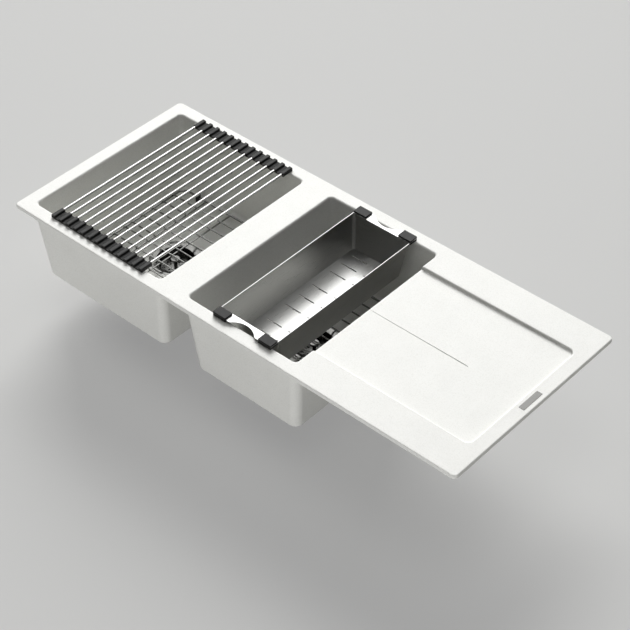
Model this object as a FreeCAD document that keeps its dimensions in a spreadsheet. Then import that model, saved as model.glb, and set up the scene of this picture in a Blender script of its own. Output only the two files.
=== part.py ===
import FreeCAD, Part
import math
import os
import Sketcher

# A double-bowl granite composite inset sink with a drainer, its two basket wastes, bottom grids,
# a roll-up drying rack and a colander. Millimetres. The origin is the middle of the divider's
# underside, in the plane that rests on the worktop: +X runs to the drainer, +Y to the back, +Z up.

SIZES = {
    "Sink moulding": {
        "rim_length": 1160.0,
        "rim_width": 485.0,
        "rim_thickness": 10.0,
        "rim_corner_radius": 10.0,
        "rim_top_round": 2.5,
        "rim_foot_chamfer": 2.0,
        "left_margin": 33.0,
        "left_bowl_length": 362.0,
        "divider_length": 77.0,
        "right_bowl_length": 283.0,
        "bowl_width": 421.0,
        "bowl_depth": 180.0,
        "bowl_draft_angle": 5.0,
        "bowl_corner_radius": 9.0,
        "bowl_floor_corner_radius": 14.0,
        "bowl_floor_round": 12.0,
        "bowl_lip_radius": 5.0,
        "bowl_wall": 11.0,
        "bowl_outer_corner_radius": 19.0,
        "bowl_under_round": 10.0,
        "drainer_length": 373.0,
        "drainer_width": 324.0,
        "drainer_depth": 7.0,
        "drainer_fall": 1.2,
        "drainer_corner_radius": 14.0,
        "drainer_lip_radius": 2.8,
        "drainer_cove_radius": 2.5,
        "drainer_edge_radius": 4.0,
        "drainer_pan_drop": 7.0,
        "drainer_pan_border": 8.0,
        "groove_length": 243.0,
        "groove_width": 3.0,
        "groove_depth": 0.5,
    },
    "Badge plate": {
        "badge_length": 57.0,
        "badge_width": 12.5,
        "badge_thickness": 1.2,
        "badge_pocket_depth": 0.7,
        "badge_corner_radius": 1.0,
        "badge_edge_distance": 16.5,
    },
    "Basket wastes": {
        "waste_hole_radius": 45.0,
        "waste_seat_radius": 57.5,
        "waste_seat_depth": 3.0,
        "flange_radius": 56.5,
        "flange_sheet": 1.2,
        "flange_flat": 6.0,
        "flange_dish": 2.0,
        "cup_radius": 42.0,
        "cup_depth": 34.0,
        "cup_corner": 6.0,
        "cup_hole_radius": 5.0,
        "cup_hole_circle": 24.0,
        "cup_hole_count": 8.0,
        "seal_outer_radius": 55.5,
        "under_seal_thickness": 3.0,
        "under_seal_inner_radius": 46.0,
        "under_seal_outer_radius": 56.0,
        "housing_flange_radius": 57.0,
        "housing_flange_thickness": 4.0,
        "housing_bore_radius": 45.2,
        "housing_wall": 2.5,
        "housing_depth": 26.0,
        "housing_cone_drop": 16.0,
        "outlet_radius": 23.9,
        "outlet_bore_radius": 20.0,
        "outlet_length": 32.0,
        "hub_radius": 7.0,
        "hub_length": 16.0,
        "rib_thickness": 3.0,
        "rib_drop": 6.0,
        "rib_top_gap": 1.5,
        "rib_count": 3.0,
        "screw_radius": 3.0,
        "screw_head_radius": 6.0,
        "screw_head_height": 2.2,
        "screw_length": 16.0,
        "screw_slot_width": 1.2,
        "screw_slot_depth": 1.0,
    },
    "Strainer baskets": {
        "basket_rim_radius": 40.0,
        "basket_rim_width": 3.0,
        "basket_rim_drop": 12.0,
        "basket_depth": 13.0,
        "basket_floor_radius": 32.0,
        "basket_sheet": 1.0,
        "basket_hole_radius": 2.2,
        "basket_inner_circle": 16.0,
        "basket_outer_circle": 25.0,
        "basket_inner_hole_count": 10.0,
        "basket_outer_hole_count": 16.0,
        "knob_radius": 11.0,
        "knob_thickness": 5.0,
        "knob_round": 2.0,
        "stem_radius": 4.0,
        "stem_foot_radius": 9.0,
        "stem_foot_thickness": 1.5,
        "stopper_radius": 31.0,
        "stopper_thickness": 3.0,
        "stopper_boss_radius": 9.0,
        "stopper_hollow_radius": 7.0,
    },
    "Bottom grids": {
        "grid_floor_gap": 13.0,
        "grid_frame_radius": 2.5,
        "grid_wire_radius": 1.75,
        "grid_corner_radius": 20.0,
        "grid_width": 346.0,
        "left_grid_length": 292.0,
        "right_grid_length": 182.0,
        "grid_inner_count": 3.0,
        "grid_cross_count": 10.0,
        "grid_cross_pitch": 32.0,
        "grid_middle_gap": 22.0,
        "grid_weld": 0.2,
        "grid_foot_radius": 6.0,
        "grid_foot_cap": 3.0,
        "left_grid_foot_inset": 46.0,
        "right_grid_foot_inset": 23.0,
    },
    "Roll-up rack": {
        "rack_rod_count": 13.0,
        "rack_pitch": 21.15,
        "rack_first_distance": 62.8,
        "rack_rod_radius": 3.0,
        "rack_rod_wall": 0.7,
        "rack_length": 443.0,
        "cap_length": 29.0,
        "cap_width": 10.0,
        "cap_height": 8.0,
        "cap_round": 2.5,
        "cap_end_wall": 3.0,
        "web_thickness": 3.0,
    },
    "Colander": {
        "colander_offset": 8.0,
        "colander_length": 392.0,
        "colander_width": 150.0,
        "colander_sheet": 1.2,
        "colander_height": 6.2,
        "colander_depth": 81.0,
        "colander_lean": 11.5,
        "colander_rim_corner_radius": 1.8,
        "colander_corner_radius": 8.0,
        "colander_mitre_drop": 12.0,
        "lug_reach": 216.7,
        "notch_length": 72.0,
        "notch_depth": 15.0,
        "notch_mouth_radius": 8.0,
        "slot_length": 41.0,
        "slot_width": 3.0,
        "slot_column_gap": 17.0,
        "slot_middle_pitch": 40.0,
        "slot_outer_pitch": 34.0,
        "slot_outer_centre": 129.6,
        "slot_row_count": 3.0,
        "pad_length": 21.5,
        "pad_width": 32.0,
        "pad_wall": 1.8,
        "pad_crown": 4.0,
        "pad_round": 1.5,
    },
    "Clearances and overruns": {
        "seat_gap": 0.3,
        "grip_gap": 0.1,
        "badge_gap": 0.3,
        "screw_gap": 0.3,
        "thread_gap": 0.05,
        "web_gap": 0.3,
        "cut_overrun": 20.0,
    },
}

doc = FreeCAD.newDocument("granite_sink")
sheet = doc.addObject("Spreadsheet::Sheet", "sizes")


def fill_sheet():
    """Write each named size into its cell and give the cell its alias."""
    row = 1
    for title, sizes in SIZES.items():
        sheet.set(f"A{row}", title)
        row += 1
        for name, value in sizes.items():
            sheet.set(f"A{row}", name)
            sheet.set(f"B{row}", repr(value))
            sheet.setAlias(f"B{row}", name)
            row += 1
    doc.recompute()


fill_sheet()


class Size:
    """A number together with the spreadsheet expression that it comes from."""

    def __init__(self, value, text):
        self.value = value
        self.text = text

    def __add__(self, other):
        other = as_size(other)
        return Size(self.value + other.value, f"({self.text} + {other.text})")

    def __radd__(self, other):
        return as_size(other) + self

    def __sub__(self, other):
        other = as_size(other)
        return Size(self.value - other.value, f"({self.text} - {other.text})")

    def __rsub__(self, other):
        return as_size(other) - self

    def __mul__(self, other):
        other = as_size(other)
        return Size(self.value * other.value, f"({self.text} * {other.text})")

    def __rmul__(self, other):
        return as_size(other) * self

    def __truediv__(self, other):
        other = as_size(other)
        return Size(self.value / other.value, f"({self.text} / {other.text})")

    def __neg__(self):
        return Size(-self.value, f"(0 - {self.text})")


def as_size(number):
    """A Size as it is, and a plain number as a Size."""
    return number if isinstance(number, Size) else Size(float(number), repr(float(number)))


def size(name):
    """The named size, bound to its cell."""
    return Size(float(sheet.get(name)), f"sizes.{name}")


def count(name):
    """A named count, as a whole number."""
    return int(round(float(sheet.get(name))))


def tangent(angle):
    """The tangent of an angle in degrees."""
    return Size(math.tan(math.radians(angle.value)), f"tan({angle.text})")


def arc_tangent(ratio):
    """The angle in degrees whose tangent is the ratio."""
    return Size(math.degrees(math.atan(ratio.value)), f"atan({ratio.text})")


def hypotenuse(run, rise):
    """The length of a slope from its run and its rise."""
    return Size(math.hypot(run.value, rise.value), f"sqrt({run.text} ^ 2 + {rise.text} ^ 2)")


def vector(x, y, z=0.0):
    """A vector from plain numbers."""
    return FreeCAD.Vector(x, y, z)


def bind(thing, **properties):
    """Bind properties of an object to their sizes."""
    for name, value in properties.items():
        thing.setExpression(name, as_size(value).text)


def place(thing, x=0, y=0, z=0):
    """Bind an object's position to its sizes."""
    for axis, value in (("x", x), ("y", y), ("z", z)):
        thing.setExpression(f"Placement.Base.{axis}", as_size(value).text)


# Places and heights that several pieces share

rim_left = -(size("divider_length") / 2 + size("left_bowl_length") + size("left_margin"))
rim_right = rim_left + size("rim_length")
bowl_left = rim_left + size("left_margin")
left_centre = -(size("divider_length") + size("left_bowl_length")) / 2
right_centre = (size("divider_length") + size("right_bowl_length")) / 2
bowl_right = right_centre + size("right_bowl_length") / 2
drainer_right = bowl_right + size("drainer_length")
badge_centre = rim_right - size("badge_edge_distance")
colander_centre = right_centre + size("colander_offset")
deck_top = size("rim_thickness")
deck_seat = deck_top + size("seat_gap")
drainer_low = deck_top - size("drainer_depth")
drainer_drop = size("drainer_depth") + size("drainer_edge_radius")
drainer_start = bowl_right + size("drainer_edge_radius") - drainer_drop * tangent(size("bowl_draft_angle"))
drainer_run = drainer_right - drainer_start
drainer_slope = arc_tangent(size("drainer_fall") / drainer_run)
bowl_floor = deck_top - size("bowl_depth")
bowl_under = bowl_floor - size("bowl_wall")
cup_floor = bowl_floor - size("cup_depth")
waste_top = bowl_under - size("under_seal_thickness")
grid_height = bowl_floor + size("grid_floor_gap")
colander_top = deck_top + size("colander_height")
BOWL_CENTRES = {"left": left_centre, "right": right_centre}

# Sketches and features of a body

ORIGIN = (-1, 1)
SIDE_AXIS = -1
UP_AXIS = -2
SLACK = 1e-3


def new_body(name):
    """A body whose label names its file."""
    body = doc.addObject("PartDesign::Body", name)
    body.Label = name
    return body


def origin_plane(body, role):
    """One of the body's own origin planes."""
    return next(item for item in body.Origin.OriginFeatures if item.Role == role)


def new_sketch(body, name, role="XY_Plane", x=0, y=0, lift=0):
    """A sketch on one of the body's origin planes, moved by bound offsets."""
    sketch = body.newObject("Sketcher::SketchObject", name)
    sketch.AttachmentSupport = [(origin_plane(body, role), "")]
    sketch.MapMode = "FlatFace"
    for axis, value in (("x", x), ("y", y), ("z", lift)):
        sketch.setExpression(f"AttachmentOffset.Base.{axis}", as_size(value).text)
    return sketch


def constrain(sketch, kind, *args, to=None):
    """Add a constraint, bound to a size where it has one."""
    if to is None:
        return sketch.addConstraint(Sketcher.Constraint(kind, *args))
    index = sketch.addConstraint(Sketcher.Constraint(kind, *args, to.value))
    sketch.setExpression(f"Constraints[{index}]", to.text)
    return index


def pin_point(sketch, geometry, point, x, y):
    """Hold a point of the sketch at bound distances from its origin."""
    for kind, axis, offset in (("DistanceX", UP_AXIS, x), ("DistanceY", SIDE_AXIS, y)):
        if abs(offset.value) < SLACK:
            constrain(sketch, "PointOnObject", geometry, point, axis)
        else:
            constrain(sketch, kind, *ORIGIN, geometry, point, to=offset)


def draw_arc(sketch, x, y, radius, start, end):
    """An arc from plain numbers, with its angles in degrees."""
    ring = Part.Circle(vector(x, y), vector(0, 0, 1), radius)
    return sketch.addGeometry(Part.ArcOfCircle(ring, math.radians(start), math.radians(end)), False)


def draw_line(sketch, start, end):
    """A line between two points from plain numbers."""
    return sketch.addGeometry(Part.LineSegment(vector(*start), vector(*end)), False)


def circle(sketch, radius, x=as_size(0), y=as_size(0)):
    """A circle about a bound centre."""
    ring = Part.Circle(vector(x.value, y.value), vector(0, 0, 1), radius.value)
    index = sketch.addGeometry(ring, False)
    constrain(sketch, "Radius", index, to=radius)
    pin_point(sketch, index, 3, x, y)


def outline(sketch, corners):
    """A closed outline, drawn counter-clockwise through bound corners.

    A corner is its x and y. A third value is the radius of an arc that leads to the next corner:
    the arc bulges out of the outline, or into it where the radius is negative.
    """
    corners = [[as_size(value) for value in corner] for corner in corners]
    pieces = []
    for n, (x, y, *bend) in enumerate(corners):
        start = vector(x.value, y.value)
        following = corners[(n + 1) % len(corners)]
        end = vector(following[0].value, following[1].value)
        if not bend:
            pieces.append((draw_line(sketch, start, end), 1, 2, None))
            continue
        radius = bend[0] if bend[0].value > 0 else -bend[0]
        outward = bend[0].value > 0
        chord = end - start
        reach = math.sqrt(max(radius.value ** 2 - (chord.Length / 2) ** 2, 0))
        side = vector(-chord.y, chord.x) / chord.Length * (reach if outward else -reach)
        middle = (start + end) / 2 + side
        first, last = (start, end) if outward else (end, start)
        angles = [math.degrees(math.atan2(p.y - middle.y, p.x - middle.x)) for p in (first, last)]
        if angles[1] <= angles[0]:
            angles[1] += 360
        index = draw_arc(sketch, middle.x, middle.y, radius.value, *angles)
        pieces.append((index, 1, 2, radius) if outward else (index, 2, 1, radius))
    for n, (index, _, end_point, _) in enumerate(pieces):
        next_index, next_start = pieces[(n + 1) % len(pieces)][:2]
        constrain(sketch, "Coincident", index, end_point, next_index, next_start)
    for (index, start_point, _, radius), corner in zip(pieces, corners):
        pin_point(sketch, index, start_point, corner[0], corner[1])
        if radius:
            constrain(sketch, "Radius", index, to=radius)


def rounded_rectangle(sketch, length, width, radius):
    """A rectangle with round corners about the sketch's origin."""
    x = length / 2
    y = width / 2
    outline(sketch, [
        (x, radius - y), (x, y - radius, radius),
        (x - radius, y), (radius - x, y, radius),
        (-x, y - radius), (-x, radius - y, radius),
        (radius - x, -y), (x - radius, -y, radius),
    ])


def slot(sketch, length, width, x, y):
    """A slot with round ends along X about a bound centre."""
    r = width.value / 2
    reach = length.value / 2 - r
    right = draw_arc(sketch, x.value + reach, y.value, r, -90, 90)
    left = draw_arc(sketch, x.value - reach, y.value, r, 90, 270)
    top = draw_line(sketch, (x.value + reach, y.value + r), (x.value - reach, y.value + r))
    bottom = draw_line(sketch, (x.value - reach, y.value - r), (x.value + reach, y.value - r))
    constrain(sketch, "Tangent", right, 2, top, 1)
    constrain(sketch, "Tangent", top, 2, left, 1)
    constrain(sketch, "Tangent", left, 2, bottom, 1)
    constrain(sketch, "Tangent", bottom, 2, right, 1)
    constrain(sketch, "Radius", right, to=width / 2)
    pin_point(sketch, right, 3, x + length / 2 - width / 2, y)
    pin_point(sketch, left, 3, x - length / 2 + width / 2, y)


def pad(body, name, sketch, length, downward=False, symmetric=False):
    """Pad a sketch by a bound length."""
    feature = body.newObject("PartDesign::Pad", name)
    feature.Profile = sketch
    feature.Reversed = downward
    feature.SideType = "Symmetric" if symmetric else "One side"
    bind(feature, Length=length)
    return feature


def pocket(body, name, sketch, depth, upward=False, symmetric=False):
    """Cut a sketch into the body and check that the cut removes material."""
    doc.recompute()
    before = body.Shape.Volume
    feature = body.newObject("PartDesign::Pocket", name)
    feature.Profile = sketch
    feature.Reversed = upward
    feature.SideType = "Symmetric" if symmetric else "One side"
    bind(feature, Length=depth)
    doc.recompute()
    if feature.Shape.isNull() or feature.Shape.Volume >= before:
        raise RuntimeError(f"{name} cuts nothing")
    return feature


def loft(body, name, kind, sections):
    """A ruled loft through sketches, added to the body or cut from it."""
    feature = body.newObject(f"PartDesign::{kind}Loft", name)
    feature.Profile = sections[0]
    feature.Sections = sections[1:]
    feature.Ruled = True
    return feature


def revolve(body, name, corners):
    """Turn a closed outline of radii and heights about the upright axis."""
    sketch = new_sketch(body, f"{name}_outline", "XZ_Plane")
    outline(sketch, corners)
    feature = body.newObject("PartDesign::Revolution", name)
    feature.Profile = sketch
    feature.ReferenceAxis = (sketch, ["V_Axis"])
    return feature


def ring_pattern(body, name, feature, sketch, copies):
    """Repeat a feature round the sketch's origin."""
    pattern = body.newObject("PartDesign::PolarPattern", name)
    pattern.Originals = [feature]
    pattern.Axis = (sketch, ["N_Axis"])
    bind(pattern, Occurrences=copies)
    body.Tip = pattern
    return pattern


def row_pattern(body, name, feature, sketch, length, copies):
    """Repeat a feature along the sketch's upright axis."""
    pattern = body.newObject("PartDesign::LinearPattern", name)
    pattern.Originals = [feature]
    pattern.Direction = (sketch, ["V_Axis"])
    bind(pattern, Length=length, Occurrences=copies)
    body.Tip = pattern
    return pattern


def dress(body, kind, name, picked, **properties):
    """A fillet or a chamfer on the edges of the body's last shape that the test picks."""
    doc.recompute()
    base = body.Tip
    edges = [f"Edge{n}" for n, edge in enumerate(base.Shape.Edges, 1) if picked(edge.BoundBox)]
    if not edges:
        raise RuntimeError(f"{name} finds no edge")
    feature = body.newObject(f"PartDesign::{kind}", name)
    feature.Base = (base, edges)
    bind(feature, **properties)
    return feature


def within(low, high):
    """A test that picks the edges that lie wholly between two corners."""
    def picked(box):
        return (box.XMin > low[0] - SLACK and box.XMax < high[0] + SLACK
                and box.YMin > low[1] - SLACK and box.YMax < high[1] + SLACK
                and box.ZMin > low[2] - SLACK and box.ZMax < high[2] + SLACK)
    return picked


def level(z, reach_y=math.inf):
    """A test that picks the edges that lie at one height and not too far from the middle."""
    return within((-math.inf, -reach_y, z), (math.inf, reach_y, z))


def upright(x, y):
    """A test that picks the edges that rise from one x, on both sides of the middle."""
    def picked(box):
        rises = box.XLength < box.ZLength and box.YLength < SLACK
        return rises and abs(box.XMax - x) < SLACK and abs(abs(box.YMin) - y) < SLACK
    return picked


# Primitives, booleans and groups

TURNS = {
    "X": FreeCAD.Rotation(vector(0, 1, 0), 90),
    "Y": FreeCAD.Rotation(vector(1, 0, 0), -90),
    "Z": FreeCAD.Rotation(),
}


def cylinder(name, radius, length, axis, x=0, y=0, z=0):
    """A cylinder that is centred on a point along its level axis, or stands on the point."""
    thing = doc.addObject("Part::Cylinder", name)
    bind(thing, Radius=radius, Height=length)
    thing.Placement = FreeCAD.Placement(vector(0, 0), TURNS[axis])
    start_x = x - length / 2 if axis == "X" else x
    start_y = y - length / 2 if axis == "Y" else y
    place(thing, start_x, start_y, z)
    return thing


def quarter_ring(name, ring_radius, wire_radius, turn, x, y, z):
    """A quarter of a ring of round wire."""
    thing = doc.addObject("Part::Torus", name)
    bind(thing, Radius1=ring_radius, Radius2=wire_radius)
    thing.Angle3 = 90
    thing.Placement = FreeCAD.Placement(vector(0, 0), FreeCAD.Rotation(vector(0, 0, 1), turn))
    place(thing, x, y, z)
    return thing


def cut(name, base, tool):
    """One object less another."""
    thing = doc.addObject("Part::Cut", name)
    thing.Base = base
    thing.Tool = tool
    return thing


def fuse(name, pieces):
    """Several objects joined into one."""
    thing = doc.addObject("Part::MultiFuse", name)
    thing.Shapes = pieces
    return thing


def group(name, pieces):
    """Separate solids kept in one object."""
    thing = doc.addObject("Part::Compound", name)
    thing.Links = pieces
    thing.Label = name
    return thing


# Sink moulding

def bowl_section(body, name, length, centre, depth, margin, radius):
    """A level section of a bowl, at a depth below the deck's top, grown by a margin."""
    growth = 2 * (margin - depth * tangent(size("bowl_draft_angle")))
    sketch = new_sketch(body, name, x=centre, lift=deck_top - depth)
    rounded_rectangle(sketch, length + growth, size("bowl_width") + growth, radius)
    return sketch


def bowl_shell(body, side):
    """The outside of a bowl, below the deck."""
    length = size(f"{side}_bowl_length")
    wall = size("bowl_wall")
    sections = []
    for name, depth in (("top", deck_top), ("foot", size("bowl_depth") + wall)):
        sections.append(bowl_section(body, f"{side}_shell_{name}", length, BOWL_CENTRES[side], depth, wall,
                                     size("bowl_outer_corner_radius")))
    loft(body, f"{side}_shell", "Additive", sections)


def bowl_hollow(body, side):
    """The inside of a bowl."""
    length = size(f"{side}_bowl_length")
    sections = []
    for name, depth, radius in (("top", as_size(0), size("bowl_corner_radius")),
                                ("foot", size("bowl_depth"), size("bowl_floor_corner_radius"))):
        sections.append(bowl_section(body, f"{side}_hollow_{name}", length, BOWL_CENTRES[side], depth,
                                     as_size(0), radius))
    loft(body, f"{side}_hollow", "Subtractive", sections)


def waste_hole(body, side):
    """The seat for the waste flange and the hole under it."""
    seat = new_sketch(body, f"{side}_seat_outline", x=BOWL_CENTRES[side], lift=bowl_floor)
    circle(seat, size("waste_seat_radius"))
    pocket(body, f"{side}_seat", seat, size("waste_seat_depth"))
    hole = new_sketch(body, f"{side}_hole_outline", x=BOWL_CENTRES[side], lift=bowl_floor)
    circle(hole, size("waste_hole_radius"))
    pocket(body, f"{side}_hole", hole, size("bowl_wall") + size("cut_overrun"))


def drainer_pan(body):
    """The thicker slab under the drainer recess."""
    start = bowl_right - 2 * size("bowl_wall")
    end = drainer_right + size("drainer_pan_border")
    sketch = new_sketch(body, "pan_outline", x=(start + end) / 2)
    width = size("drainer_width") + 2 * size("drainer_pan_border")
    rounded_rectangle(sketch, end - start, width, size("drainer_corner_radius"))
    pad(body, "pan", sketch, size("drainer_pan_drop"), downward=True)


def drainer_recess(body):
    """The shallow recess that falls to the right bowl and rounds over its edge, with a middle groove."""
    start = bowl_right - size("cut_overrun")
    low = drainer_low
    high = low + size("drainer_fall")
    above = deck_top + size("cut_overrun")
    lean = (above - high) * size("drainer_fall") / drainer_run
    edge = size("drainer_edge_radius")
    side = new_sketch(body, "recess_outline", "XZ_Plane")
    outline(side, [(start, low - edge), (drainer_start - edge, low - edge, -edge), (drainer_start, low),
                   (drainer_right, high), (drainer_right - lean, above), (start, above)])
    pocket(body, "recess", side, size("drainer_width"), symmetric=True)
    half = (size("drainer_width") / 2).value
    corners = upright(drainer_right.value, half)
    dress(body, "Fillet", "recess_corners", corners, Radius=size("drainer_corner_radius"))
    edges = within((bowl_right.value, -half, high.value + SLACK), (drainer_right.value, half, deck_top.value))
    dress(body, "Fillet", "recess_lip", edges, Radius=size("drainer_lip_radius"))
    groove = new_sketch(body, "groove_outline", x=bowl_right, lift=deck_top)
    slot(groove, size("groove_length") * 2, size("groove_width"), as_size(0), as_size(0))
    pocket(body, "groove", groove, size("drainer_depth") + size("groove_depth"))


def recess_foot(name, cove=None):
    """The lowest part of the recess, level and bent down over the bowl's edge, its foot sharp or coved."""
    body = new_body(name)
    length = hypotenuse(drainer_run, size("drainer_fall"))
    half = size("drainer_width") / 2
    corner = size("drainer_corner_radius")
    edge = size("drainer_edge_radius")
    top = size("drainer_depth") / 2
    plan = new_sketch(body, f"{name}_plan")
    outline(plan, [(0, -half), (length - corner, -half, corner), (length, corner - half),
                   (length, half - corner, corner), (length - corner, half), (0, half)])
    pad(body, f"{name}_floor", plan, top)
    if cove:
        foot = level(0)
        dress(body, "Fillet", f"{name}_cove", lambda box: foot(box) and box.XMax > SLACK, Radius=cove)
    section = new_sketch(body, f"{name}_section", "YZ_Plane", y=-edge)
    if cove:
        outline(section, [(cove - half, edge), (half - cove, edge, cove), (half, edge + cove),
                          (half, edge + top), (-half, edge + top), (-half, edge + cove, cove)])
    else:
        outline(section, [(-half, edge), (half, edge), (half, edge + top), (-half, edge + top)])
    bend = body.newObject("PartDesign::Revolution", f"{name}_bend")
    bend.Profile = section
    bend.ReferenceAxis = (section, ["H_Axis"])
    bend.Reversed = True
    bend.setExpression("Angle", f"90 deg + {drainer_slope.text}")
    return body


def recess_cove(blank):
    """The coved foot of the recess's three walls, as far as the blank moulding reaches."""
    coved = recess_foot("recess_coved", size("drainer_cove_radius"))
    strip = cut("recess_strip", recess_foot("recess_sharp"), coved)
    strip.Placement = FreeCAD.Placement(vector(0, 0), FreeCAD.Rotation(vector(0, -1, 0), drainer_slope.value))
    strip.setExpression("Placement.Rotation.Angle", drainer_slope.text)
    place(strip, x=drainer_start, z=drainer_low)
    cove = doc.addObject("Part::Common", "recess_cove")
    cove.Base = strip
    cove.Tool = blank
    return cove


def badge_pocket(body):
    """The shallow pocket for the badge plate."""
    sketch = new_sketch(body, "badge_pocket_outline", x=badge_centre, lift=deck_top)
    gap = size("badge_gap")
    rounded_rectangle(sketch, size("badge_width") + 2 * gap, size("badge_length") + 2 * gap,
                      size("badge_corner_radius") + gap)
    pocket(body, "badge_pocket", sketch, size("badge_pocket_depth"))


def sink():
    """The white composite moulding."""
    body = new_body("sink_casting")
    deck = new_sketch(body, "deck_outline", x=(rim_left + rim_right) / 2)
    rounded_rectangle(deck, size("rim_length"), size("rim_width"), size("rim_corner_radius"))
    pad(body, "deck", deck, deck_top)
    dress(body, "Fillet", "rim_top", level(deck_top.value), Radius=size("rim_top_round"))
    dress(body, "Chamfer", "rim_foot", level(0), Size=size("rim_foot_chamfer"))
    drainer_pan(body)
    for side in BOWL_CENTRES:
        bowl_shell(body, side)
    dress(body, "Fillet", "bowl_under", level(bowl_under.value), Radius=size("bowl_under_round"))
    for side in BOWL_CENTRES:
        bowl_hollow(body, side)
    dress(body, "Fillet", "bowl_floors", level(bowl_floor.value), Radius=size("bowl_floor_round"))
    half_bowl = (size("bowl_width") / 2).value
    dress(body, "Fillet", "bowl_lips", level(deck_top.value, half_bowl), Radius=size("bowl_lip_radius"))
    for side in BOWL_CENTRES:
        waste_hole(body, side)
    doc.recompute()
    blank = body.Tip
    drainer_recess(body)
    badge_pocket(body)
    whole = fuse("sink_body", [body, recess_cove(blank)])
    whole.Refine = True
    whole.Label = "sink_body"
    return whole


def badge():
    """The blank metal plate at the end of the drainer."""
    body = new_body("badge_plate")
    sketch = new_sketch(body, "badge_outline", x=badge_centre, lift=deck_top - size("badge_pocket_depth"))
    rounded_rectangle(sketch, size("badge_width"), size("badge_length"), size("badge_corner_radius"))
    pad(body, "badge", sketch, size("badge_thickness"))
    return body


# Basket wastes, each drawn about its own bowl's centre

def waste_flange(side):
    """The pressed steel flange and cup in the bowl's floor, with a ring of water holes."""
    body = new_body(f"{side}_waste_flange")
    rim = size("flange_radius")
    sheet_metal = size("flange_sheet")
    flat = rim - size("flange_flat")
    cup = size("cup_radius")
    dish = bowl_floor - size("flange_dish")
    corner = size("cup_corner")
    bore = size("screw_radius") + size("screw_gap")
    revolve(body, f"{side}_cup", [
        (bore, cup_floor - sheet_metal), (cup - corner, cup_floor - sheet_metal),
        (cup + sheet_metal, cup_floor + corner), (cup + sheet_metal, dish - sheet_metal),
        (flat, bowl_floor - sheet_metal), (rim, bowl_floor - sheet_metal), (rim, bowl_floor),
        (flat, bowl_floor), (cup, dish), (cup, cup_floor + corner), (cup - corner, cup_floor),
        (bore, cup_floor),
    ])
    holes = new_sketch(body, f"{side}_cup_hole_outline", lift=cup_floor)
    circle(holes, size("cup_hole_radius"), size("cup_hole_circle"))
    hole = pocket(body, f"{side}_cup_hole", holes, size("cut_overrun"))
    ring_pattern(body, f"{side}_cup_holes", hole, holes, size("cup_hole_count"))
    return body


def seal(name, inner, outer, low, high):
    """A flat rubber ring."""
    body = new_body(name)
    revolve(body, f"{name}_ring", [(inner, low), (outer, low), (outer, high), (inner, high)])
    return body


def waste_housing(side):
    """The plastic housing under the bowl: flange, bore, cone, threaded tail, ribs and screw hub."""
    body = new_body(f"{side}_waste_body")
    rim = size("housing_flange_radius")
    bore = size("housing_bore_radius")
    outside = bore + size("housing_wall")
    waist = waste_top - size("housing_depth")
    neck = waist - size("housing_cone_drop")
    foot = neck - size("outlet_length")
    shoulder = waste_top - size("housing_flange_thickness")
    outlet = size("outlet_radius")
    outlet_bore = size("outlet_bore_radius")
    revolve(body, f"{side}_housing", [
        (outlet_bore, foot), (outlet, foot), (outlet, neck), (outside, waist), (outside, shoulder),
        (rim, shoulder), (rim, waste_top), (bore, waste_top), (bore, waist), (outlet_bore, neck),
    ])
    hub_top = cup_floor - size("flange_sheet")
    hub = size("hub_radius")
    screw_hole = size("screw_radius") + size("thread_gap")
    root = (hub + screw_hole) / 2
    rib_top = hub_top - size("rib_top_gap")
    drop = size("rib_drop")
    middle = bore + size("housing_wall") / 2
    low = middle - (bore - outlet_bore) * drop / size("housing_cone_drop")
    ribs = new_sketch(body, f"{side}_rib_outline", "XZ_Plane")
    outline(ribs, [(root, waist - drop), (low, waist - drop), (middle, waist), (middle, rib_top),
                   (root, rib_top)])
    rib = pad(body, f"{side}_rib", ribs, size("rib_thickness"), symmetric=True)
    axis = new_sketch(body, f"{side}_rib_axis")
    circle(axis, hub)
    doc.recompute()
    ring_pattern(body, f"{side}_ribs", rib, axis, size("rib_count"))
    hub_foot = hub_top - size("hub_length")
    revolve(body, f"{side}_hub", [(screw_hole, hub_foot), (hub, hub_foot), (hub, hub_top),
                                  (screw_hole, hub_top)])
    return body


def clamp_screw(side):
    """The slotted screw that draws the flange and the housing together."""
    body = new_body(f"{side}_clamp_screw")
    shank = size("screw_radius")
    head = size("screw_head_radius")
    top = cup_floor + size("screw_head_height")
    foot = cup_floor - size("screw_length")
    zero = as_size(0)
    revolve(body, f"{side}_screw", [(zero, foot), (shank, foot), (shank, cup_floor), (head, cup_floor),
                                    (head, top), (zero, top)])
    sketch = new_sketch(body, f"{side}_screw_slot_outline", lift=top)
    slot(sketch, 2 * head + size("screw_head_height"), size("screw_slot_width"), zero, zero)
    pocket(body, f"{side}_screw_slot", sketch, size("screw_slot_depth"))
    return body


def basket(side):
    """The perforated lift-out basket."""
    body = new_body(f"{side}_basket")
    rim = size("basket_rim_radius")
    mouth = rim - size("basket_rim_width")
    floor = size("basket_floor_radius")
    thick = size("basket_sheet")
    top = bowl_floor - size("basket_rim_drop")
    low = top - size("basket_depth")
    zero = as_size(0)
    revolve(body, f"{side}_basket_wall", [
        (zero, low - thick), (floor + thick, low - thick), (mouth + thick, top - thick), (rim, top - thick),
        (rim, top), (mouth, top), (floor, low), (zero, low),
    ])
    for name in ("inner", "outer"):
        sketch = new_sketch(body, f"{side}_{name}_hole_outline", lift=low)
        circle(sketch, size("basket_hole_radius"), size(f"basket_{name}_circle"))
        hole = pocket(body, f"{side}_{name}_hole", sketch, size("cut_overrun"))
        ring_pattern(body, f"{side}_{name}_holes", hole, sketch, size(f"basket_{name}_hole_count"))
    return body


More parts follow.
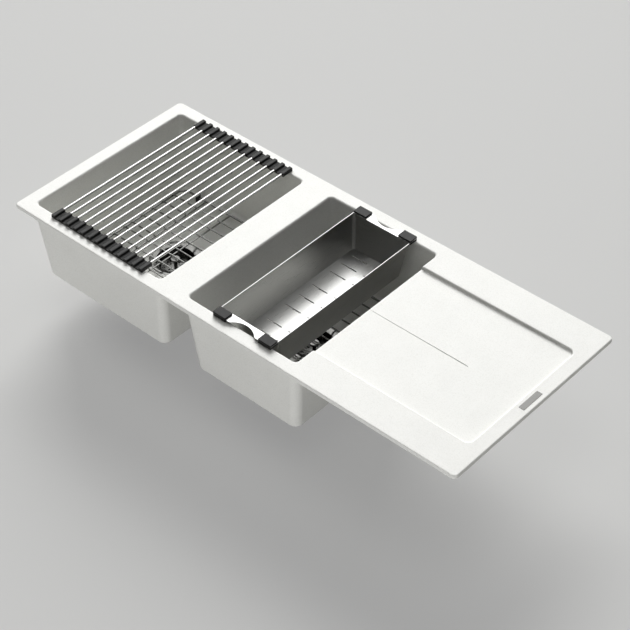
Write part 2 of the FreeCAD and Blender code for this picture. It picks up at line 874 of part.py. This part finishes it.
def basket_knob(side):
    """The post and knob in the middle of the basket."""
    body = new_body(f"{side}_basket_knob")
    low = bowl_floor - size("basket_rim_drop") - size("basket_depth")
    foot = size("stem_foot_radius")
    step = low + size("stem_foot_thickness")
    stem = size("stem_radius")
    knob = size("knob_radius")
    under = bowl_floor - size("knob_thickness")
    bend = size("knob_round")
    zero = as_size(0)
    revolve(body, f"{side}_knob", [
        (zero, low), (foot, low), (foot, step), (stem, step), (stem, under), (knob - bend, under, bend),
        (knob, under + bend), (knob, bowl_floor - bend, bend), (knob - bend, bowl_floor), (zero, bowl_floor),
    ])
    return body


def basket_stopper(side):
    """The rubber stopper under the basket, hollow over the screw's head."""
    body = new_body(f"{side}_basket_stopper")
    top = bowl_floor - size("basket_rim_drop") - size("basket_depth") - size("basket_sheet")
    low = cup_floor + size("seat_gap")
    disc = low + size("stopper_thickness")
    hollow_top = cup_floor + size("screw_head_height") + size("screw_gap")
    boss = size("stopper_boss_radius")
    hollow = size("stopper_hollow_radius")
    rim = size("stopper_radius")
    zero = as_size(0)
    revolve(body, f"{side}_stopper", [(zero, hollow_top), (hollow, hollow_top), (hollow, low), (rim, low),
                                      (rim, disc), (boss, disc), (boss, top), (zero, top)])
    return body


def waste(side):
    """All the pieces of one basket waste."""
    flat = size("flange_radius") - size("flange_flat")
    seat = bowl_floor - size("waste_seat_depth")
    pieces = [
        waste_flange(side),
        seal(f"{side}_flange_seal", flat, size("seal_outer_radius"), seat, bowl_floor - size("flange_sheet")),
        seal(f"{side}_under_seal", size("under_seal_inner_radius"), size("under_seal_outer_radius"),
             waste_top, bowl_under),
        waste_housing(side),
        clamp_screw(side),
        basket(side),
        basket_knob(side),
        basket_stopper(side),
    ]
    for piece in pieces:
        place(piece, x=BOWL_CENTRES[side])
    return pieces


# Bottom grids, each drawn about its own bowl's centre

def grid_frame(side):
    """The thick wire frame of one bottom grid, bent into a rectangle with round corners."""
    centre = BOWL_CENTRES[side]
    length = size(f"{side}_grid_length")
    width = size("grid_width")
    frame = size("grid_frame_radius")
    corner = size("grid_corner_radius")
    pieces = []
    for sign, word in ((-1, "front"), (1, "back")):
        pieces.append(cylinder(f"{side}_frame_{word}", frame, length - 2 * corner, "X",
                               centre, sign * width / 2, grid_height))
    for sign, word in ((-1, "left"), (1, "right")):
        pieces.append(cylinder(f"{side}_frame_{word}", frame, width - 2 * corner, "Y",
                               centre + sign * length / 2, as_size(0), grid_height))
    for n, (sign_x, sign_y) in enumerate(((1, 1), (-1, 1), (-1, -1), (1, -1))):
        pieces.append(quarter_ring(f"{side}_frame_corner_{n}", corner, frame, 90 * n,
                                   centre + sign_x * (length / 2 - corner), sign_y * (width / 2 - corner),
                                   grid_height))
    whole = fuse(f"{side}_grid_frame", pieces)
    whole.Label = f"{side}_grid_frame"
    return whole


def grid_wires(side):
    """The thin wires of one bottom grid: cross wires welded on the frame, and long wires under them."""
    centre = BOWL_CENTRES[side]
    length = size(f"{side}_grid_length")
    frame = size("grid_frame_radius")
    wire = size("grid_wire_radius")
    weld = size("grid_weld")
    cross_height = grid_height + frame + wire - weld
    long_height = cross_height - 2 * wire + weld
    long_wire = size("grid_width") - 2 * frame + weld
    wires = []
    long_count = count("grid_inner_count")
    for n in range(long_count):
        x = centre - length / 2 + length * (n + 1) / (long_count + 1)
        wires.append(cylinder(f"{side}_long_wire_{n}", wire, long_wire, "Y", x, as_size(0), long_height))
    cross_count = count("grid_cross_count")
    for n in range(cross_count):
        step = n - (cross_count - 1) / 2
        sign = 1 if step > 0 else -1
        y = sign * size("grid_middle_gap") / 2 + (step - sign / 2) * size("grid_cross_pitch")
        wires.append(cylinder(f"{side}_cross_wire_{n}", wire, length + 2 * wire, "X",
                              centre, y, cross_height))
    return group(f"{side}_grid_wires", wires)


def grid_feet(side):
    """The four rubber feet clipped on a grid's front and back wires."""
    reach = size(f"{side}_grid_length") / 2 - size(f"{side}_grid_foot_inset")
    low = bowl_floor + size("seat_gap")
    high = grid_height + size("grid_frame_radius") + size("grid_foot_cap")
    foot = size("grid_foot_radius")
    feet = []
    for sign_y, word in ((-1, "front"), (1, "back")):
        y = sign_y * size("grid_width") / 2
        for sign_x, end in ((-1, "left"), (1, "right")):
            x = BOWL_CENTRES[side] + sign_x * reach
            post = cylinder(f"{side}_post_{word}_{end}", foot, high - low, "Z", x, y, low)
            bore = cylinder(f"{side}_bore_{word}_{end}", size("grid_frame_radius") + size("grip_gap"),
                            2 * foot + size("cut_overrun"), "X", x, y, grid_height)
            feet.append(cut(f"{side}_foot_{word}_{end}", post, bore))
    return group(f"{side}_grid_feet", feet)


# Roll-up rack: tube, end caps and half webs of each segment, drawn about the tube and set out in a row

def rack_cap(variant, end):
    """A silicone cap with its half webs, at the front or at the back end of a tube."""
    body = new_body(f"{variant}_{end}_cap")
    front = end == "front"
    inner_end = size("rack_length") / 2 - size("cap_length")
    lift = inner_end if front else -inner_end
    x = size("cap_width") / 2
    top = deck_seat + size("cap_height")
    bend = size("cap_round")
    web = deck_seat + size("web_thickness")
    nose = size("web_thickness") / 2
    hinge = size("rack_pitch") / 2
    end_face = nose + size("web_gap") - hinge
    right_web = [(hinge, deck_seat, nose), (hinge + nose, deck_seat + nose, nose), (hinge, web), (x, web)]
    left_web = [(-x, web), (end_face, web), (end_face, deck_seat)]
    corners = right_web if variant != "last" else [(x, deck_seat)]
    corners = corners + [(x, top - bend, bend), (x - bend, top), (bend - x, top, bend), (-x, top - bend)]
    corners = corners + (left_web if variant != "first" else [(-x, deck_seat)])
    sketch = new_sketch(body, f"{variant}_{end}_cap_outline", "XZ_Plane", lift=lift)
    outline(sketch, corners)
    pad(body, f"{variant}_{end}_cap_block", sketch, size("cap_length"), downward=not front)
    bore = new_sketch(body, f"{variant}_{end}_bore_outline", "XZ_Plane", lift=lift)
    circle(bore, size("rack_rod_radius") + size("grip_gap"), y=deck_seat + size("cap_height") / 2)
    pocket(body, f"{variant}_{end}_bore", bore, size("cap_length") - size("cap_end_wall"), upward=front)
    return body


def rack():
    """The thirteen tubes and the thirteen pairs of caps."""
    tube_length = size("rack_length") - 2 * size("cap_end_wall")
    height = deck_seat + size("cap_height") / 2
    radius = size("rack_rod_radius")
    skin = cylinder("tube_outside", radius, tube_length, "Y", z=height)
    hollow = cylinder("tube_inside", radius - size("rack_rod_wall"), tube_length + size("cut_overrun"), "Y",
                      z=height)
    tube = cut("tube", skin, hollow)
    caps = {}
    for variant in ("first", "middle", "last"):
        caps[variant] = [rack_cap(variant, end) for end in ("front", "back")]
    pieces = []
    rod_count = count("rack_rod_count")
    for n in range(rod_count):
        x = bowl_left + size("rack_first_distance") + n * size("rack_pitch")
        variant = "first" if n == 0 else "last" if n == rod_count - 1 else "middle"
        pieces.append(group(f"rack_rod_{n + 1:02d}", [tube]))
        pieces.append(group(f"rack_caps_{n + 1:02d}", caps[variant]))
        place(pieces[-2], x=x)
        place(pieces[-1], x=x)
    return pieces


# Colander, drawn about its own centre

def colander_sections(body, name, inset):
    """Level sections of the colander's box: sharp at the rim, round from the mitre down to the floor."""
    sections = []
    foot_drop = size("colander_depth") if inset.value else size("colander_depth") + size("colander_sheet")
    for n, (drop, radius) in enumerate(((as_size(0), size("colander_rim_corner_radius")),
                                        (size("colander_mitre_drop"), size("colander_corner_radius")),
                                        (foot_drop, size("colander_corner_radius")))):
        lean = size("colander_lean") * drop / size("colander_depth")
        sketch = new_sketch(body, f"{name}_{n}", lift=colander_top - drop)
        rounded_rectangle(sketch, size("colander_width") - 2 * lean - 2 * inset,
                          size("colander_length") - 2 * lean - 2 * inset, radius - inset)
        sections.append(sketch)
    return sections


def colander_lugs(body):
    """The level lugs at the front and back, each with a finger notch in its outer edge."""
    sheet_metal = size("colander_sheet")
    x = size("colander_width") / 2
    root = size("colander_length") / 2 - sheet_metal
    reach = size("lug_reach")
    half = size("notch_length") / 2
    depth = size("notch_depth")
    mouth = size("notch_mouth_radius")
    both = (size("notch_length") * size("notch_length") / 4 + depth * depth) / (2 * depth)
    bow = both - mouth
    turn_x = half * bow / both
    turn_y = reach - depth * mouth / both
    sketch = new_sketch(body, "lug_outline", lift=colander_top - sheet_metal)
    outline(sketch, [(-x, root), (x, root), (x, reach), (half, reach, mouth), (turn_x, turn_y, -bow),
                     (-turn_x, turn_y, mouth), (-half, reach), (-x, reach)])
    lug = pad(body, "back_lug", sketch, sheet_metal)
    mirror = body.newObject("PartDesign::Mirrored", "front_lug")
    mirror.Originals = [lug]
    mirror.MirrorPlane = (origin_plane(body, "XZ_Plane"), [""])
    body.Tip = mirror


def colander_slots(body):
    """Three groups of three rows of drain slots, in two columns."""
    floor = colander_top - size("colander_depth")
    column = (size("slot_length") + size("slot_column_gap")) / 2
    rows = (size("slot_row_count") - 1) / 2
    for name, centre, pitch in (("front", -size("slot_outer_centre"), size("slot_outer_pitch")),
                                ("middle", as_size(0), size("slot_middle_pitch")),
                                ("back", size("slot_outer_centre"), size("slot_outer_pitch"))):
        sketch = new_sketch(body, f"{name}_slot_outline", lift=floor)
        for sign in (-1, 1):
            slot(sketch, size("slot_length"), size("slot_width"), sign * column, centre - rows * pitch)
        first = pocket(body, f"{name}_slot", sketch, size("cut_overrun"))
        row_pattern(body, f"{name}_slots", first, sketch, 2 * rows * pitch, size("slot_row_count"))


def colander():
    """The folded steel box with slotted floor and lugs."""
    body = new_body("colander_basket")
    loft(body, "box_outside", "Additive", colander_sections(body, "outside", as_size(0)))
    loft(body, "box_inside", "Subtractive", colander_sections(body, "inside", size("colander_sheet")))
    colander_lugs(body)
    colander_slots(body)
    place(body, x=colander_centre)
    return body


def colander_pads():
    """The four silicone pads sleeved on the lugs' ends; they rest on the deck."""
    body = new_body("lug_pad")
    outer = size("lug_reach") + size("pad_wall")
    inner = outer - size("pad_length")
    lug = size("lug_reach")
    lug_foot = colander_top - size("colander_sheet")
    top = colander_top + size("pad_crown")
    sketch = new_sketch(body, "pad_outline", "YZ_Plane")
    outline(sketch, [(-outer, deck_seat), (-inner, deck_seat), (-inner, lug_foot), (-lug, lug_foot),
                     (-lug, colander_top), (-inner, colander_top), (-inner, top), (-outer, top)])
    pad(body, "pad_block", sketch, size("pad_width"), symmetric=True)
    end_face = within((-math.inf, -math.inf, -math.inf), (math.inf, -outer.value, math.inf))
    dress(body, "Fillet", "pad_edges", end_face, Radius=size("pad_round"))
    reach = (size("colander_width") - size("pad_width")) / 2
    pads = []
    for turn, word in ((0, "front"), (180, "back")):
        for sign, end in ((-1, "left"), (1, "right")):
            sleeve = group(f"pad_{word}_{end}", [body])
            sleeve.Placement = FreeCAD.Placement(vector(0, 0), FreeCAD.Rotation(vector(0, 0, 1), turn))
            place(sleeve, x=colander_centre + sign * reach)
            pads.append(sleeve)
    return group("colander_pads", pads)


def check(subparts):
    """Stop if any object has failed or any sub-part's shape is empty or broken."""
    for item in doc.Objects:
        if "Invalid" in item.State or "Error" in item.State:
            raise RuntimeError(f"{item.Name} failed: {item.State}")
    for part in subparts:
        shape = part.Shape
        if shape.isNull() or not shape.isValid() or not shape.Solids:
            raise RuntimeError(f"{part.Label} has no valid solid")


subparts = [sink(), badge()]
for side in BOWL_CENTRES:
    subparts += waste(side)
    subparts += [grid_frame(side), grid_wires(side), grid_feet(side)]
subparts += rack()
subparts += [colander(), colander_pads()]
doc.recompute()
check(subparts)
os.makedirs("parts", exist_ok=True)
for part in subparts:
    part.Shape.exportStep(f"parts/{part.Label}.step")
    box = part.Shape.BoundBox
    print(f"{part.Label}: {len(part.Shape.Solids)} solids, x {box.XMin:.1f} to {box.XMax:.1f}, "
          f"y {box.YMin:.1f} to {box.YMax:.1f}, z {box.ZMin:.1f} to {box.ZMax:.1f}")
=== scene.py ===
import bmesh
import bpy
from mathutils import Matrix, Vector


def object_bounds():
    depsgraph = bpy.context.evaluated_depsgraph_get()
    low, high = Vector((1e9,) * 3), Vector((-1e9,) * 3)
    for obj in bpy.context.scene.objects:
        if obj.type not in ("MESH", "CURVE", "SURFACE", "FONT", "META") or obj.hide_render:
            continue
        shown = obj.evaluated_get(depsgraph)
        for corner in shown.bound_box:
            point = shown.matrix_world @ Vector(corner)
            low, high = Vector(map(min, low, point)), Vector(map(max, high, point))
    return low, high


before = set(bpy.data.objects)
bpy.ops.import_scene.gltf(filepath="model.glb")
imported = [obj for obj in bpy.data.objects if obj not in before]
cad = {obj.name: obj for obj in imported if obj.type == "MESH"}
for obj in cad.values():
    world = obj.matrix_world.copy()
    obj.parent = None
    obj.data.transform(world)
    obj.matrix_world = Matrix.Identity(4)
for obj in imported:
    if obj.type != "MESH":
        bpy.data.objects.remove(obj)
cad_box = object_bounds()
mm = 0.001

# SINK MOULDING
# One casting of quartz grains in white acrylic resin: both bowls, the divider, the drainer and the rim.
# It is cast in a closed mould, so all its faces have the same fine, satin stone grain.

granite_white = "#ECECE8"
granite_shade = "#E2E2DD"
grain_size = 1.1 * mm
grain_relief = 0.06 * mm
shaded_grains = 0.55
cloud_size = 60 * mm
cloud_shade = 0.97
casting_roughness = (0.42, 0.54)
acrylic_ior = 1.52

# Most of a noise pattern lies in this span, which is stretched over the range that a finish needs.
usual_noise = (0.3, 0.7)


def linear(colour):
    """An sRGB hex colour as linear RGBA."""
    parts = [int(colour[i:i + 2], 16) / 255 for i in (1, 3, 5)]
    return [p / 12.92 if p <= 0.04045 else ((p + 0.055) / 1.055) ** 2.4 for p in parts] + [1.0]


def add(finish, kind, inputs, **settings):
    """Add a node to a material, with its settings and with a value or a link for each input.

    A Mix node's inputs go by number: 0 is its factor, 4 and 5 are its vectors, 6 and 7 its colours.
    """
    node = finish.node_tree.nodes.new("ShaderNode" + kind)
    for name, value in settings.items():
        setattr(node, name, value)
    for name, value in inputs.items():
        if isinstance(value, bpy.types.NodeSocket):
            finish.node_tree.links.new(value, node.inputs[name])
        else:
            node.inputs[name].default_value = value
    return node


def new_finish(name):
    """A new material, with no nodes in it yet."""
    finish = bpy.data.materials.new(name)
    finish.use_nodes = True
    finish.node_tree.nodes.clear()
    return finish


def coat(finish, *names):
    """Give CAD pieces this material."""
    for name in names:
        cad[name].data.materials.clear()
        cad[name].data.materials.append(finish)


# Quartz grains show as tiny lighter and greyer cells, and the resin between them gives a soft sheen.
# The grains are drawn coarser than real ones, so that they show.
composite = new_finish("cast_quartz_composite_white")
place = add(composite, "TexCoord", {}).outputs["Object"]
grains = add(composite, "TexVoronoi", {"Vector": place, "Scale": 1 / grain_size}, feature="F1")
cloud = add(composite, "TexNoise", {"Vector": place, "Scale": 1 / cloud_size, "Detail": 3.0}).outputs["Fac"]
grey = add(composite, "SeparateColor", {"Color": grains.outputs["Color"]}).outputs["Red"]
speck = add(composite, "MapRange", {"Value": grey, "From Min": shaded_grains,
                                    "From Max": 1.0}).outputs["Result"]
tone = add(composite, "Mix", {0: speck, 6: linear(granite_white), 7: linear(granite_shade)}, data_type="RGBA")
cloudy = add(composite, "MapRange", {"Value": cloud, "From Min": usual_noise[0], "From Max": usual_noise[1],
                                     "To Min": cloud_shade, "To Max": 1.0}).outputs["Result"]
colour = add(composite, "Mix", {0: 1.0, 6: tone.outputs[2], 7: cloudy},
             data_type="RGBA", blend_type="MULTIPLY").outputs[2]
sheen = add(composite, "MapRange", {"Value": grey, "To Min": casting_roughness[0],
                                    "To Max": casting_roughness[1]}).outputs["Result"]
grit = add(composite, "Bump", {"Height": grains.outputs["Distance"], "Strength": 0.15,
                               "Distance": grain_relief})
resin = add(composite, "BsdfPrincipled", {"Base Color": colour, "Roughness": sheen, "IOR": acrylic_ior,
                                          "Normal": grit.outputs["Normal"]})
add(composite, "OutputMaterial", {"Surface": resin.outputs["BSDF"]})
coat(composite, "sink_body")

# BADGE PLATE
# A thin bare plate, cut from brushed stainless sheet and glued into a shallow pocket at the right end of
# the drainer.

plate_steel = "#626260"
plate_line = 0.5 * mm
plate_line_length = 30 * mm
plate_line_relief = 0.05 * mm
plate_roughness = (0.25, 0.5)

# Brushing leaves lines along the plate, which blur its shine to a soft grey. They are drawn coarser than
# real ones, so that they show.
plate = new_finish("line_brushed_steel")
place = add(plate, "TexCoord", {}).outputs["Object"]
lines = add(plate, "Mapping", {"Vector": place, "Scale": (1 / plate_line, 1 / plate_line_length,
                                                          1 / plate_line)}).outputs["Vector"]
streak = add(plate, "TexNoise", {"Vector": lines, "Scale": 1.0, "Detail": 4.0}).outputs["Fac"]
rough = add(plate, "MapRange", {"Value": streak, "To Min": plate_roughness[0],
                                "To Max": plate_roughness[1]}).outputs["Result"]
bump = add(plate, "Bump", {"Height": streak, "Strength": 0.2, "Distance": plate_line_relief})
steel = add(plate, "BsdfPrincipled", {"Base Color": linear(plate_steel), "Metallic": 1.0, "Roughness": rough,
                                      "Normal": bump.outputs["Normal"]})
add(plate, "OutputMaterial", {"Surface": steel.outputs["BSDF"]})
coat(plate, "badge_plate")

# BASKET WASTES
# A pressed and polished steel flange and cup in each bowl's floor, with a plastic housing drawn up under it.
# The strainer basket with its knob lifts out; the rubber disc under it closes the waste.

polished_steel = "#626260"
polish_haze = 6 * mm
polish_roughness = (0.12, 0.24)
black_plastic = "#242424"
spark_grain = 0.8 * mm
spark_relief = 0.06 * mm
plastic_roughness = (0.35, 0.6)
polypropylene_ior = 1.49
black_rubber = "#1C1C1C"
rubber_bloom = 5 * mm
rubber_roughness = (0.55, 0.8)
nitrile_ior = 1.52

# Polishing leaves only a faint haze in patches, so the steel mirrors the bowl round it.
bright = new_finish("mirror_polished_steel")
place = add(bright, "TexCoord", {}).outputs["Object"]
haze = add(bright, "TexNoise", {"Vector": place, "Scale": 1 / polish_haze, "Detail": 3.0}).outputs["Fac"]
rough = add(bright, "MapRange", {"Value": haze, "From Min": usual_noise[0], "From Max": usual_noise[1],
                                 "To Min": polish_roughness[0],
                                 "To Max": polish_roughness[1]}).outputs["Result"]
steel = add(bright, "BsdfPrincipled", {"Base Color": linear(polished_steel), "Metallic": 1.0,
                                       "Roughness": rough})
add(bright, "OutputMaterial", {"Surface": steel.outputs["BSDF"]})

# The mould is spark-eroded, and its fine grain makes the black plastic dull.
housing = new_finish("moulded_polypropylene_black")
place = add(housing, "TexCoord", {}).outputs["Object"]
spark = add(housing, "TexNoise", {"Vector": place, "Scale": 1 / spark_grain, "Detail": 2.0}).outputs["Fac"]
rough = add(housing, "MapRange", {"Value": spark, "To Min": plastic_roughness[0],
                                  "To Max": plastic_roughness[1]}).outputs["Result"]
bump = add(housing, "Bump", {"Height": spark, "Strength": 0.3, "Distance": spark_relief})
plastic = add(housing, "BsdfPrincipled", {"Base Color": linear(black_plastic), "Roughness": rough,
                                          "IOR": polypropylene_ior, "Normal": bump.outputs["Normal"]})
add(housing, "OutputMaterial", {"Surface": plastic.outputs["BSDF"]})

# Moulded rubber has a dull bloom in soft patches.
rubber = new_finish("moulded_nitrile_rubber_black")
place = add(rubber, "TexCoord", {}).outputs["Object"]
bloom = add(rubber, "TexNoise", {"Vector": place, "Scale": 1 / rubber_bloom, "Detail": 4.0}).outputs["Fac"]
rough = add(rubber, "MapRange", {"Value": bloom, "To Min": rubber_roughness[0],
                                 "To Max": rubber_roughness[1]}).outputs["Result"]
gum = add(rubber, "BsdfPrincipled", {"Base Color": linear(black_rubber), "Roughness": rough,
                                     "IOR": nitrile_ior})
add(rubber, "OutputMaterial", {"Surface": gum.outputs["BSDF"]})

for side in ("left", "right"):
    coat(bright, f"{side}_waste_flange", f"{side}_clamp_screw", f"{side}_basket", f"{side}_basket_knob")
    coat(housing, f"{side}_waste_body")
    coat(rubber, f"{side}_flange_seal", f"{side}_under_seal", f"{side}_basket_stopper")

# BOTTOM GRIDS
# One in each bowl: thin drawn stainless wires, spot-welded across a thicker round frame wire, and then
# electropolished. Four rubber feet pushed on the frame stand on the bowl's floor.

wire_steel = "#8C8C8A"
wire_haze = 4 * mm
wire_roughness = (0.1, 0.22)

# Electropolishing leaves the wire bright, with a slight haze and no lines.
wire = new_finish("electropolished_wire")
place = add(wire, "TexCoord", {}).outputs["Object"]
haze = add(wire, "TexNoise", {"Vector": place, "Scale": 1 / wire_haze, "Detail": 3.0}).outputs["Fac"]
rough = add(wire, "MapRange", {"Value": haze, "From Min": usual_noise[0], "From Max": usual_noise[1],
                               "To Min": wire_roughness[0],
                               "To Max": wire_roughness[1]}).outputs["Result"]
steel = add(wire, "BsdfPrincipled", {"Base Color": linear(wire_steel), "Metallic": 1.0, "Roughness": rough})
add(wire, "OutputMaterial", {"Surface": steel.outputs["BSDF"]})
for side in ("left", "right"):
    coat(wire, f"{side}_grid_frame", f"{side}_grid_wires")
    coat(rubber, f"{side}_grid_feet")

# ROLL-UP RACK
# Thirteen thin-walled stainless tubes, whose ends are pushed into moulded black silicone caps. Thin webs
# between the caps join them into a mat that lies over the left bowl and rolls up.

tube_count = 13
tube_steel = "#C0C0BE"
tube_ring = 0.6 * mm
tube_patch = 3 * mm
tube_roughness = (0.18, 0.34)
black_silicone = "#121211"
silicone_dust = 3 * mm
silicone_relief = 0.1 * mm
silicone_roughness = (0.5, 0.7)
silicone_ior = 1.42

# Centreless grinding leaves fine rings round each tube, which spread its highlight a little. They are drawn
# coarser than real ones, so that they show.
tube = new_finish("centreless_ground_steel_tube")
place = add(tube, "TexCoord", {}).outputs["Object"]
rings = add(tube, "Mapping", {"Vector": place, "Scale": (1 / tube_patch, 1 / tube_ring,
                                                         1 / tube_patch)}).outputs["Vector"]
ground = add(tube, "TexNoise", {"Vector": rings, "Scale": 1.0, "Detail": 3.0}).outputs["Fac"]
rough = add(tube, "MapRange", {"Value": ground, "To Min": tube_roughness[0],
                               "To Max": tube_roughness[1]}).outputs["Result"]
steel = add(tube, "BsdfPrincipled", {"Base Color": linear(tube_steel), "Metallic": 1.0, "Roughness": rough})
add(tube, "OutputMaterial", {"Surface": steel.outputs["BSDF"]})

# Moulded silicone is a deep black with a soft, slightly dusty sheen.
silicone = new_finish("moulded_silicone_black")
place = add(silicone, "TexCoord", {}).outputs["Object"]
dust = add(silicone, "TexNoise", {"Vector": place, "Scale": 1 / silicone_dust, "Detail": 4.0}).outputs["Fac"]
rough = add(silicone, "MapRange", {"Value": dust, "To Min": silicone_roughness[0],
                                   "To Max": silicone_roughness[1]}).outputs["Result"]
bump = add(silicone, "Bump", {"Height": dust, "Strength": 0.15, "Distance": silicone_relief})
gum = add(silicone, "BsdfPrincipled", {"Base Color": linear(black_silicone), "Roughness": rough,
                                       "IOR": silicone_ior, "Normal": bump.outputs["Normal"]})
add(silicone, "OutputMaterial", {"Surface": gum.outputs["BSDF"]})
for number in range(1, tube_count + 1):
    coat(tube, f"rack_rod_{number:02d}")
    coat(silicone, f"rack_caps_{number:02d}")

# COLANDER
# Brushed stainless sheet, slotted, folded into a box and welded at the corners. Its lugs carry silicone pads
# that rest on the deck.

sheet_steel = "#B2B2B0"
brush_line = 0.7 * mm
brush_length = 45 * mm
brush_relief = 0.01 * mm
sheet_roughness = (0.24, 0.34)
end_wall_facing = 0.8

# The brush lines run along the box and across its two end walls, and stretch its highlights. They are drawn
# coarser than real ones, so that they show.
brushed = new_finish("brushed_stainless_sheet")
place = add(brushed, "TexCoord", {}).outputs["Object"]
facing = add(brushed, "SeparateXYZ", {"Vector": add(brushed, "TexCoord", {}).outputs["Normal"]}).outputs["Y"]
end_on = add(brushed, "Math", {0: facing}, operation="ABSOLUTE").outputs[0]
end_wall = add(brushed, "Math", {0: end_on, 1: end_wall_facing}, operation="GREATER_THAN").outputs[0]
long_way = add(brushed, "Mapping", {"Vector": place, "Scale": (1 / brush_line, 1 / brush_length,
                                                               1 / brush_line)}).outputs["Vector"]
cross_way = add(brushed, "Mapping", {"Vector": place, "Scale": (1 / brush_length, 1 / brush_line,
                                                                1 / brush_line)}).outputs["Vector"]
way = add(brushed, "Mix", {0: end_wall, 4: long_way, 5: cross_way}, data_type="VECTOR").outputs[1]
streak = add(brushed, "TexNoise", {"Vector": way, "Scale": 1.0, "Detail": 4.0}).outputs["Fac"]
rough = add(brushed, "MapRange", {"Value": streak, "To Min": sheet_roughness[0],
                                  "To Max": sheet_roughness[1]}).outputs["Result"]
bump = add(brushed, "Bump", {"Height": streak, "Strength": 0.08, "Distance": brush_relief})
steel = add(brushed, "BsdfPrincipled", {"Base Color": linear(sheet_steel), "Metallic": 1.0,
                                        "Roughness": rough, "Normal": bump.outputs["Normal"]})
add(brushed, "OutputMaterial", {"Surface": steel.outputs["BSDF"]})
coat(brushed, "colander_basket")
coat(silicone, "colander_pads")

# FLOOR, LIGHT AND CAMERA
# A plain pale floor under the sink. Soft lamps far behind on the left, above and low in front light it, and
# two wide glows show only in the metal.

low, high = cad_box
floor_height = low[2] - 0.5 * mm
floor_grey = "#9A9A98"
floor_roughness = 0.8
floor_shine = 0.2
floor_glow = 0.28
floor_reach = 60.0

floor_mesh = bpy.data.meshes.new("floor")
sheet = bmesh.new()
bmesh.ops.create_grid(sheet, x_segments=1, y_segments=1, size=floor_reach)
bmesh.ops.translate(sheet, verts=sheet.verts, vec=(0, 0, floor_height))
sheet.to_mesh(floor_mesh)
sheet.free()
floor = bpy.data.objects.new("floor", floor_mesh)
bpy.context.scene.collection.objects.link(floor)

# Matt paint, which glows a little for the camera and in the metal, and throws no more light on the sink.
paint = new_finish("matt_floor_paint")
path = add(paint, "LightPath", {})
direct = add(paint, "Math", {0: path.outputs["Is Camera Ray"], 1: path.outputs["Is Glossy Ray"]},
             operation="MAXIMUM").outputs[0]
seen = add(paint, "Math", {0: direct, 1: path.outputs["Is Transmission Ray"]}, operation="MAXIMUM").outputs[0]
glow = add(paint, "Math", {0: seen, 1: floor_glow}, operation="MULTIPLY").outputs[0]
matt = add(paint, "BsdfPrincipled", {"Base Color": linear(floor_grey), "Roughness": floor_roughness,
                                     "Specular IOR Level": floor_shine,
                                     "Emission Color": linear("#FFFFFF"), "Emission Strength": glow})
add(paint, "OutputMaterial", {"Surface": matt.outputs["BSDF"]})
floor.data.materials.append(paint)

aim_depth = 50 * mm
middle = Vector(((low[0] + high[0]) / 2, 0, -aim_depth))


def lamp(name, direction, distance, length, height, watts, seen_in_metal=False):
    """A soft lamp that points at the middle of the sink: it lights surfaces, or only shows in metal."""
    light = bpy.data.lights.new(name, "AREA")
    light.shape = "RECTANGLE"
    light.size = length
    light.size_y = height
    light.energy = watts
    holder = bpy.data.objects.new(name, light)
    away = Vector(direction).normalized()
    turn = away.to_track_quat("Z", "Y").to_matrix().to_4x4()
    holder.matrix_world = Matrix.Translation(middle + away * distance) @ turn
    holder.visible_glossy = seen_in_metal
    holder.visible_diffuse = not seen_in_metal
    bpy.context.scene.collection.objects.link(holder)
    return holder


lamp("key_lamp", (-0.576, 0.647, 0.5), distance=24.0, length=14.4, height=12.8, watts=8900.0)
lamp("top_lamp", (0.1, -0.1, 1.0), distance=5.0, length=3.0, height=3.0, watts=38.0)
low_lamp = lamp("low_lamp", (0.42, -0.9, -0.015), distance=5.0, length=3.4, height=0.25, watts=124.0)
lamp("left_glow", (-0.52, 0.5, 0.69), distance=2.2, length=3.0, height=2.4, watts=88.0, seen_in_metal=True)
lamp("right_glow", (0.55, -0.5, 0.667), distance=2.6, length=0.8, height=0.8, watts=5.0, seen_in_metal=True)

# The low lamp stands just above the floor, so the floor is left out of its light and gets no streak from it.
spared = bpy.data.collections.new("spared_by_low_lamp")
spared.objects.link(floor)
low_lamp.light_linking.receiver_collection = spared
spared.collection_objects[0].light_linking.link_state = "EXCLUDE"

# An even grey all round fills the shadows.
studio_grey = "#585858"
world = bpy.data.worlds.new("studio")
bpy.context.scene.world = world
world.use_nodes = True
world.node_tree.nodes["Background"].inputs["Color"].default_value = linear(studio_grey)
world.node_tree.nodes["Background"].inputs["Strength"].default_value = 1.0

# The camera's place, aim and lens in mm were solved from the rim's four corners.
eye = Vector((2.00338, -2.04645, 2.36010))
gaze = Vector((-0.49519, 0.55634, -0.66729))
lens_length = 104.55
sensor_width = 36.0
camera = bpy.data.objects.new("camera", bpy.data.cameras.new("camera"))
camera.data.lens = lens_length
camera.data.sensor_width = sensor_width
camera.matrix_world = Matrix.Translation(eye) @ gaze.to_track_quat("-Z", "Y").to_matrix().to_4x4()
bpy.context.scene.collection.objects.link(camera)
bpy.context.scene.camera = camera
bpy.context.scene.view_settings.view_transform = "Standard"
